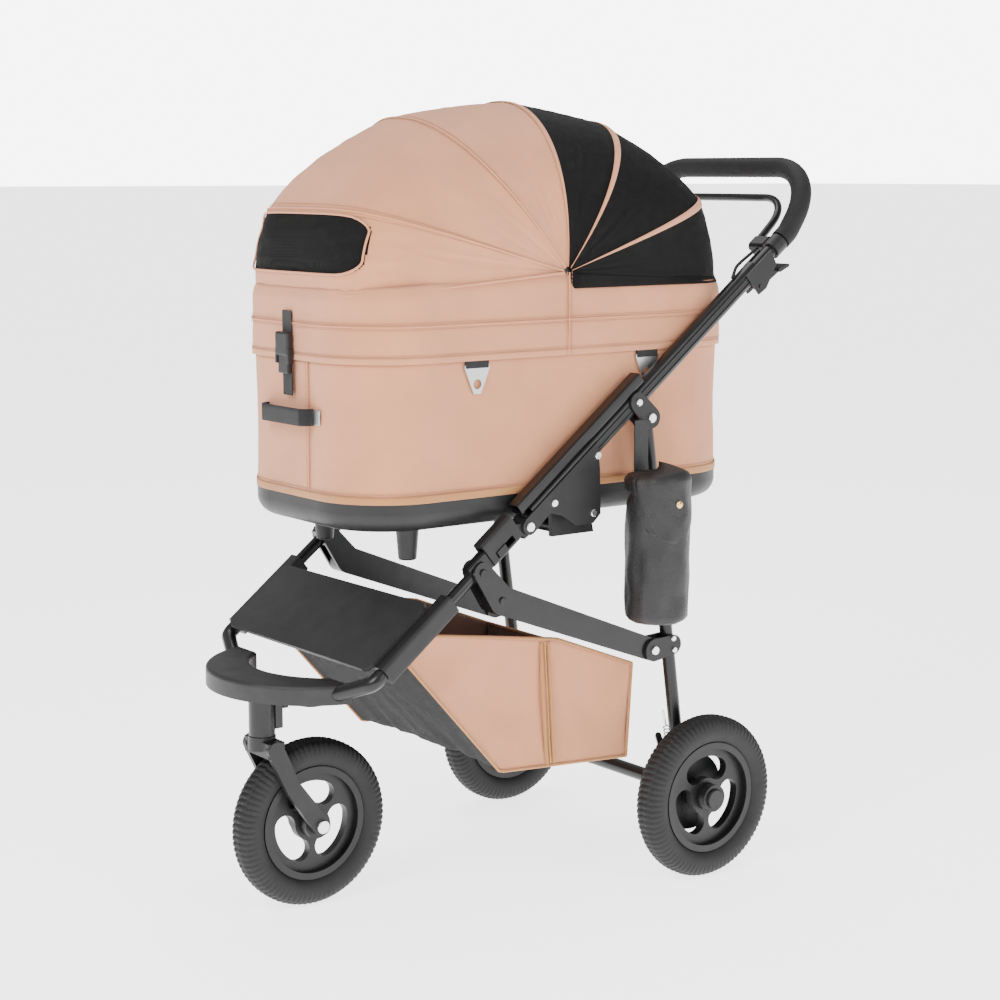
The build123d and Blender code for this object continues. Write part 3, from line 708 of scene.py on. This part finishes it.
def strip(name, low, high, grow, mat, thick=0.0012, rows=3):
    def place(u, v):
        return Vector((*around(u, grow), low + (high - low) * v))
    return patch(name, 240, rows, place, "cot", mat, thick)


strip("bottom_binding", wall_lo.z - 0.001, wall_lo.z + 0.010, 0.0012, m_binding)
stitches("bottom_thread", ring_points(wall_lo.z + 0.0135, 0.0002), "cot", m_thread, closed=True)

# %% [markdown]
# ## The rim band
# A stiff band overhangs the wall. Its top edge rises towards the pivots to meet the canopy.

# %% The rim band
rim_lo, rim_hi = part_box("cot_rim")
OVERHANG = rim_hi.x - wall_hi.x


def rim_place(u, v):
    x, y = around(u, OVERHANG)
    top = pivot.z + 0.002 - abs(y - pivot.y) * 0.052
    if y > pivot.y:
        top = max(rim_hi.z, top - (y - pivot.y) * 1.2)
    z = rim_lo.z + (top - rim_lo.z) * v
    tuck = 0.0
    if v > 0.82:
        tuck = 0.006 * ((v - 0.82) / 0.18) ** 1.5
    swell = 0.0012 * math.sin(math.pi * min(v / 0.42, 1)) + abs(ripple((x, y, z), 8, 0.0016))
    x, y = around(u, OVERHANG - tuck - 0.0012 + swell - 0.0008)
    return Vector((x, y, z))


rim_cloth = patch("rim_cloth", 260, 26, rim_place, "cot", m_cloth, 0.0025)
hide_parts("cot_rim")
strip("rim_hem", rim_lo.z, rim_lo.z + 0.009, OVERHANG + 0.0002, m_cloth)
for name, height in (("hem", 0.0115), ("low", 0.047), ("high", 0.056)):
    row = ring_points(rim_lo.z + height, OVERHANG + 0.0004)
    stitches(f"rim_thread_{name}", row, "cot", m_thread, closed=True)
ridge = ring_points(rim_lo.z + 0.0515, OVERHANG - 0.0004)
tube("rim_ridge", ridge, 0.0014, "cot", m_cloth, closed=True)

# %% Net skirt between the rim and the net
def net_skirt():
    """Joins the lowest net panel to the top of the band behind the pivots."""
    table = []
    for i in range(600):
        x, y = around(i / 600, OVERHANG - 0.004)
        table.append((math.atan2(y - cot_y, x - mid_x), x, y))

    def place(u, v):
        top = on_canopy(HOOPS["rim"] + 0.6, u, 0.001)
        way = math.atan2(top.y - cot_y, top.x - mid_x)
        _, x, y = min(table, key=lambda row: abs(row[0] - way))
        return Vector((x, y, rim_hi.z - 0.004)).lerp(top, v)
    patch("net_skirt", 100, 4, place, "cot", m_net, 0.0008)


net_skirt()

# %% Upright seams
def upright(name, share, low, high, grow):
    line = [Vector((*around(share, grow), low + (high - low) * i / 20)) for i in range(21)]
    tube(name, line, 0.0011, "cot", m_cloth)
    for side, move in (("a", 0.0022), ("b", -0.0022)):
        row = [Vector((*around(share + move, grow + 0.0004), low + (high - low) * i / 20)) for i in range(21)]
        stitches(f"{name}_thread_{side}", row, "cot", m_thread)


def share_at(target, left=True):
    """The share round the outline whose y is nearest a target, on one long side."""
    spots = [i / 800 for i in range(800)]
    spots = [s for s in spots if (around(s)[0] > mid_x) == left]
    return min(spots, key=lambda s: abs(around(s)[1] - target) + 0.001 * abs(s - 0.1))


for name, left in (("left", True), ("right", False)):
    upright(f"rim_seam_{name}", share_at(pivot.y, left), rim_lo.z, pivot.z, OVERHANG + 0.0002)

# %% [markdown]
# ## The mat
# A pad that starts a little small, swells under pressure, and gets a piped edge afterwards.

# %% The mat
mat_lo, mat_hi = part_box("cot_mat")


def make_mat():
    bm = bmesh.new()
    inset, margin, rows = 0.014, 0.003, 6
    low, high = mat_lo.z + margin, mat_hi.z - margin

    def place(u, v):
        return Vector((*around(u, -inset), low + (high - low) * v))
    add_patch(bm, 120, rows, place)
    bmesh.ops.remove_doubles(bm, verts=bm.verts, dist=WELD)
    bmesh.ops.holes_fill(bm, edges=bm.edges, sides=0)
    return from_bmesh("mat", bm, None, m_mat)


def swell(obj, cap, frames=20):
    """Voxel remesh, a short pressure simulation, a cap on the travel, and one subdivision."""
    remesh = obj.modifiers.new("remesh", "REMESH")
    remesh.mode = "VOXEL"
    remesh.voxel_size = 0.006
    apply_modifiers(obj)
    rest = [v.co.copy() for v in obj.data.vertices]
    press = obj.modifiers.new("cloth", "CLOTH")
    press.settings.use_pressure = True
    press.settings.uniform_pressure_force = 4
    press.settings.effector_weights.gravity = 0
    for step in range(1, frames + 1):
        bpy.context.scene.frame_set(step)
    apply_modifiers(obj)
    bpy.context.scene.frame_set(1)
    for vert, start in zip(obj.data.vertices, rest):
        move = vert.co - start
        if move.length > cap:
            vert.co = start + move.normalized() * cap
        vert.co.z = min(max(vert.co.z, mat_lo.z), mat_hi.z)
    smooth = obj.modifiers.new("smooth", "SUBSURF")
    smooth.levels = 1
    apply_modifiers(obj)


def apply_modifiers(obj):
    graph = bpy.context.evaluated_depsgraph_get()
    mesh = bpy.data.meshes.new_from_object(obj.evaluated_get(graph))
    obj.modifiers.clear()
    obj.data = mesh
    for poly in mesh.polygons:
        poly.use_smooth = True


mat_pad = make_mat()
swell(mat_pad, 0.007)
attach(mat_pad, "cot")
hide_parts("cot_mat")
piping = ring_points((mat_lo.z + mat_hi.z) / 2 + 0.004, -0.0095)
tube("mat_piping", piping, 0.0022, "cot", m_binding, closed=True)

# %% [markdown]
# ## Front strap, buckle and pull loop

# %% Front strap, buckle and pull loop
buckle_lo, buckle_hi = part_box("front_buckle")
handle_lo, handle_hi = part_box("grab_handle")
front_y = wall_lo.y - OVERHANG


def front_strap():
    """A webbing strap with a side-release buckle: (width, depth, height), how far out and up it sits."""
    middle = (buckle_lo.z + buckle_hi.z) / 2
    block("buckle_strap", (0.024, 0.0016, buckle_hi.z - buckle_lo.z), (mid_x, front_y - 0.0012, middle),
          "cot", m_webbing, 0.0005)

    def moulding(name, size, out, up, ease, across=0.0):
        place = (mid_x + across, front_y - out, middle + up)
        return block(f"buckle_{name}", size, place, "cot", m_plastic, ease)

    socket = moulding("socket", (0.034, 0.010, 0.034), 0.0072, 0.013, 0.003)
    moulding("tongue", (0.026, 0.007, 0.030), 0.006, -0.014, 0.002)
    for side in (-1, 1):
        which = "left" if side > 0 else "right"
        moulding(f"prong_{which}", (0.005, 0.009, 0.022), 0.007, -0.004, 0.0015, side * 0.0155)
    moulding("bar", (0.026, 0.005, 0.004), 0.006, -0.026, 0.0015)
    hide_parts("front_buckle")


def pull_loop():
    half = (handle_hi.x - handle_lo.x) / 2
    depth = handle_hi.y - handle_lo.y
    height = handle_hi.z - handle_lo.z

    def place(u, v):
        x = (u - 0.5) * 2 * half
        bow = max(1 - abs(u - 0.5) * 2, 0)
        y = handle_hi.y - 0.002 - (depth - 0.004) * min(bow * 5.0, 1.0) ** 0.5
        return Vector((mid_x + x, y, handle_lo.z + height * v))
    loop = patch("pull_loop", 60, 4, place, "cot", m_webbing, 0.0035)
    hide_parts("grab_handle")
    for side in (-1, 1):
        place = (mid_x + side * (half + 0.004), wall_lo.y - 0.0012, (handle_lo.z + handle_hi.z) / 2)
        block(f"pull_end_{'left' if side > 0 else 'right'}", (0.020, 0.0022, height - 0.003), place,
              "cot", m_steel, 0.0008)


front_strap()
pull_loop()
seam_low = wall_lo.z + 0.012
front_middle = Vector((mid_x, wall_lo.y))
front_share = min((i / 800 for i in range(800)), key=lambda s: (Vector(around(s)) - front_middle).length)
upright("front_seam", front_share + 0.022, seam_low, rim_lo.z, 0.0002)

# %% [markdown]
# ## Webbing over the tie rings

# %% Ring loops
for place in ("front", "rear"):
    for name in ("left", "right"):
        lo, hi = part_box(f"tie_ring_{place}_{name}")
        middle = (lo + hi) / 2
        side = 1 if middle.x > mid_x else -1
        spot = (middle.x + side * 0.0002, middle.y, hi.z + 0.001)
        block(f"ring_loop_{place}_{name}", (0.0035, 0.040, 0.013), spot, "cot", m_webbing, 0.001)

# %% [markdown]
# ## The basket
# Side panels of sand cloth, a black front and floor, a brown lining, bound edges and an upright zip.

# %% The basket
bag_lo, bag_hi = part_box("basket")
TOP = [Vector((y, z)) for y, z in ((-0.309, 0.401), (-0.255, 0.422), (-0.030, 0.388), (0.116, 0.331))]
FOOT = [Vector((y, z)) for y, z in ((-0.3085, 0.4), (-0.134, 0.204), (0.106, 0.188))]


def along_line(points, share):
    """A point at a share of a polyline's length."""
    runs = [(b - a).length for a, b in zip(points, points[1:])]
    left = share * sum(runs)
    for a, b, run in zip(points, points[1:], runs):
        if left <= run + 1e-9:
            return a.lerp(b, left / run)
        left -= run
    return points[-1].copy()


def basket_piece():
    half = (bag_hi.x - bag_lo.x) / 2 - 0.001
    bm = bmesh.new()
    for side in (1, -1):
        def flank(u, v, side=side):
            top, foot = along_line(TOP, u), along_line(FOOT, u)
            point = foot.lerp(top, v)
            middle = math.sin(math.pi * v)
            crease = abs(ripple((point.x, point.y, side), 11, 0.005)) * middle
            belly = 0.007 * math.sin(math.pi * u) * middle + crease
            return Vector((mid_x + side * (half - belly), point.x, point.y))
        add_patch(bm, 60, 26, flank, 0)

    def under(u, v):
        point = along_line(FOOT, u)
        edge = abs(v - 0.5) * 2
        lift = 0.004 + abs(ripple((point.x, v, 2), 9, 0.006))
        lift *= (1 - edge ** 4) * math.sin(math.pi * min(u * 1.02, 1))
        return Vector((mid_x + (0.5 - v) * 2 * half, point.x + lift * 0.3, point.y + lift))
    add_patch(bm, 60, 40, under, 1)

    def back(u, v):
        point = FOOT[-1].lerp(TOP[-1], v)
        dip = 0.004 * math.sin(math.pi * u) * math.sin(math.pi * v)
        return Vector((mid_x + (0.5 - u) * 2 * half, point.x - dip, point.y))
    add_patch(bm, 40, 20, back, 0)
    bmesh.ops.remove_doubles(bm, verts=bm.verts, dist=0.0004)
    bag = from_bmesh("basket_cloth", bm, "rear_frame", [m_cloth, m_black_cloth, m_lining])
    shell = bag.modifiers.new("lining", "SOLIDIFY")
    shell.thickness = 0.002
    shell.offset = -1
    shell.material_offset = 2
    apply_modifiers(bag)
    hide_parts("basket")


def basket_trim(name, points, radius):
    tube(name, points, radius, "rear_frame", m_binding)


basket_piece()
half_bag = (bag_hi.x - bag_lo.x) / 2 - 0.0005
for name, side in (("left", 1), ("right", -1)):
    x = mid_x + side * half_bag
    rim_line = [Vector((x, *along_line(TOP, i / 40))) for i in range(41)]
    base_line = [Vector((x, *along_line(FOOT, i / 60))) for i in range(61)]
    basket_trim(f"basket_top_{name}", rim_line, 0.0026)
    basket_trim(f"basket_base_{name}", base_line, 0.0022)
    basket_trim(f"basket_back_{name}", [base_line[-1], rim_line[-1]], 0.0024)
    zip_top, zip_foot = Vector((x, -0.052, 0.386)), Vector((x, -0.040, 0.200))
    run = [zip_top.lerp(zip_foot, i / 12) for i in range(13)]
    for k, move in (("front", -0.007), ("back", 0.007)):
        basket_trim(f"zip_tape_{k}_{name}", [p + Vector((-side * 0.0008, move, 0)) for p in run], 0.0028)
    stitches(f"zip_teeth_{name}", run, "rear_frame", m_brass, 0.0032, 0.0018, 0.0015)
for name, corner in (("front", TOP[0]), ("back", TOP[-1])):
    basket_trim(f"basket_{name}_edge", [Vector((mid_x + s * half_bag, *corner)) for s in (-1, 1)], 0.0026)

# %% [markdown]
# Each basket and zip piece is given its own copy of its mesh.

# %% Give the basket pieces their own meshes
for obj in list(bpy.data.objects):
    if obj.name.startswith(("basket_", "zip_")):
        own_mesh(obj)

# %% [markdown]
# ## The bottle pouch
# A soft leather tube, drawn in at the neck, with a flap, a stud and the strap that hangs it.

# %% The bottle pouch
pouch_lo, pouch_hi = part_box("bottle_pouch")
POUCH_R = (pouch_hi.x - pouch_lo.x) / 2
pouch_mid = Vector(((pouch_lo.x + pouch_hi.x) / 2, pouch_lo.y + POUCH_R, 0))
POUCH_TOP = 0.612


def pouch_skin(u, v):
    turn = math.tau * u
    height = pouch_lo.z + (POUCH_TOP - pouch_lo.z + 0.012) * v
    radius = POUCH_R * (0.90 + 0.05 * math.sin(math.pi * v)) - 0.012 * max(v - 0.86, 0) / 0.14
    if v < 0.05:
        radius -= 0.012 * (1 - v / 0.05) ** 2
    crease = ripple((math.cos(turn), math.sin(turn), height * 9), 2.2, 0.0035)
    gather = 0.0016 * math.sin(turn * 14) * max(v - 0.84, 0) / 0.16
    radius = min(radius + crease + gather, POUCH_R - 0.0012)
    return pouch_mid + Vector((radius * math.cos(turn), radius * math.sin(turn), height))


def make_pouch():
    bm = bmesh.new()
    add_patch(bm, 96, 44, pouch_skin)
    bmesh.ops.remove_doubles(bm, verts=bm.verts, dist=WELD)
    base = [e for e in bm.edges if e.is_boundary and e.verts[0].co.z < pouch_lo.z + 0.01]
    bmesh.ops.contextual_create(bm, geom=base)
    thicken(bm, 0.0016)
    pouch = from_bmesh("pouch", bm, "frame", m_leather)
    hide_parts("bottle_pouch")


def pouch_flap(u, v):
    """A cap of leather laid over the mouth; its outer half hangs down the side in a broad tongue."""
    turn = math.tau * u
    outward = max(math.cos(turn), 0.0)
    fall = 0.016 + 0.075 * outward ** 0.45
    run = v * (POUCH_R + fall)
    radius = min(run, POUCH_R * 0.96)
    shoulder = max(0.0, run - POUCH_R * 0.86)
    height = POUCH_TOP + 0.030 - 0.012 * (radius / POUCH_R) ** 2 - shoulder * 0.97
    pull = 0.010 * (1 - min(v * 1.6, 1)) * math.sin(turn + 1.1)
    crease = ripple((math.cos(turn) * 1.5, math.sin(turn) * 1.5, v * 2), 1.6, 0.005) * v
    radius = min(radius + crease, POUCH_R - 0.0002)
    return pouch_mid + Vector((radius * math.cos(turn), radius * math.sin(turn), height + pull))


make_pouch()
patch("pouch_flap", 72, 30, pouch_flap, "frame", m_leather, 0.0012)
ring_r = POUCH_R - 0.009
turns = [math.tau * i / 40 for i in range(40)]
string = [pouch_mid + Vector((ring_r * math.cos(a), ring_r * math.sin(a), POUCH_TOP - 0.006)) for a in turns]
tube("pouch_drawstring", string, 0.0016, "frame", m_webbing, closed=True)
block("pouch_strap", (0.0025, 0.026, 0.085), (pouch_lo.x + 0.0015, 0.096, 0.665),
      "frame", m_leather, 0.0008)


def stud(name, place, radius, body, mat):
    bm = bmesh.new()
    bmesh.ops.create_uvsphere(bm, u_segments=20, v_segments=10, radius=radius)
    bmesh.ops.scale(bm, vec=(0.45, 1, 1), verts=bm.verts)
    bmesh.ops.translate(bm, vec=place, verts=bm.verts)
    return from_bmesh(name, bm, body, mat)


stud("pouch_stud", (pouch_mid.x + POUCH_R - 0.003, pouch_mid.y, POUCH_TOP - 0.018), 0.006,
     "frame", m_brass)

# %% [markdown]
# ## Tyres
# A rounded carcass with four ribs round the tread and short lugs on the shoulders.

# %% Tyres
TREAD_LUGS = 84
RIM_EDGE = 0.0815


def tyre(name, node, body):
    lo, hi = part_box(node)
    centre = (lo + hi) / 2
    wide = (hi.x - lo.x) / 2
    radius = (hi.z - lo.z) / 2
    inner = RIM_EDGE
    deep = (radius - inner) / 2

    def place(u, v):
        turn, around_section = math.tau * u, math.tau * v
        c, s = math.cos(around_section), math.sin(around_section)
        x = wide * math.copysign(abs(c) ** 0.86, c)
        r = inner + deep + deep * math.copysign(abs(s) ** 0.86, s)
        if s > 0.05:
            lug = math.sin(turn * TREAD_LUGS + (0 if abs(x) > wide * 0.55 else math.pi / 2) + x * 60)
            rib = math.cos(x / wide * math.pi * 3.5)
            cut = 0.0017 * max(0.0, min(1.0, 0.9 * lug + 0.1))
            cut += 0.0015 * max(0.0, rib - 0.55) / 0.45
            r -= cut * min(1.0, s * 2.2)
            x -= math.copysign(0.0008, x) * max(0.0, lug) * (1 - s)
        return Vector((centre.x + x, centre.y + r * math.cos(turn), centre.z + r * math.sin(turn)))
    bm = bmesh.new()
    add_patch(bm, 504, 44, place)
    obj = from_bmesh(name, bm, body, m_rubber)
    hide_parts(node)


tyre("tread_front", "front_tyre", "front_wheel")
tyre("tread_left", "rear_tyre_left", "rear_wheel_left")
tyre("tread_right", "rear_tyre_right", "rear_wheel_right")

# %% [markdown]
# ## Small metal and trim

# %% Small metal and trim
SLOPE = math.radians(38)
LINE_HEIGHT = 0.656
TUBE_FACE = 0.2112
DRUM_LEVER = 0.226


def spring(name, top, foot, radius, turns, body):
    line = []
    for i in range(turns * 14 + 1):
        share = i / (turns * 14)
        angle = math.tau * turns * share
        line.append(top.lerp(foot, share) + Vector((radius * math.cos(angle), radius * math.sin(angle), 0)))
    tube(name, line, 0.0009, body, m_steel)


def on_frame(s, up, x):
    """A point s along the main tube's line and up from it, at a sideways place x."""
    run, rise = math.cos(SLOPE), math.sin(SLOPE)
    return Vector((x, s * run - up * rise, LINE_HEIGHT + s * rise + up * run))


for name, side in (("left", 1), ("right", -1)):
    for k, up in (("upper", 0.0045), ("lower", -0.0045)):
        ends = [on_frame(s, up, mid_x + side * TUBE_FACE) for s in (-0.112, 0.424)]
        tube(f"tube_rib_{k}_{name}", ends, 0.0013, "frame", m_tube)

for name, side in (("left", 1), ("right", -1)):
    x = mid_x + side * DRUM_LEVER
    rod_top, hook, foot = Vector((x, 0.142, 0.262)), Vector((x, 0.148, 0.238)), Vector((x, 0.160, 0.180))
    spring(f"brake_spring_{name}", hook, foot, 0.0045, 11, "rear_frame")
    tube(f"brake_rod_{name}", [rod_top, hook], 0.0018, "rear_frame", m_bright)

# %% [markdown]
# ## Size
# The box round everything is measured again and printed beside the first one. The looks
# may not outgrow the frame, so the box is measured again.

# %% Size
size_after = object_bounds()
for when, box in (("before", size_before), ("after", size_after)):
    print("size", when, [[round(n, 3) for n in corner] for corner in box])
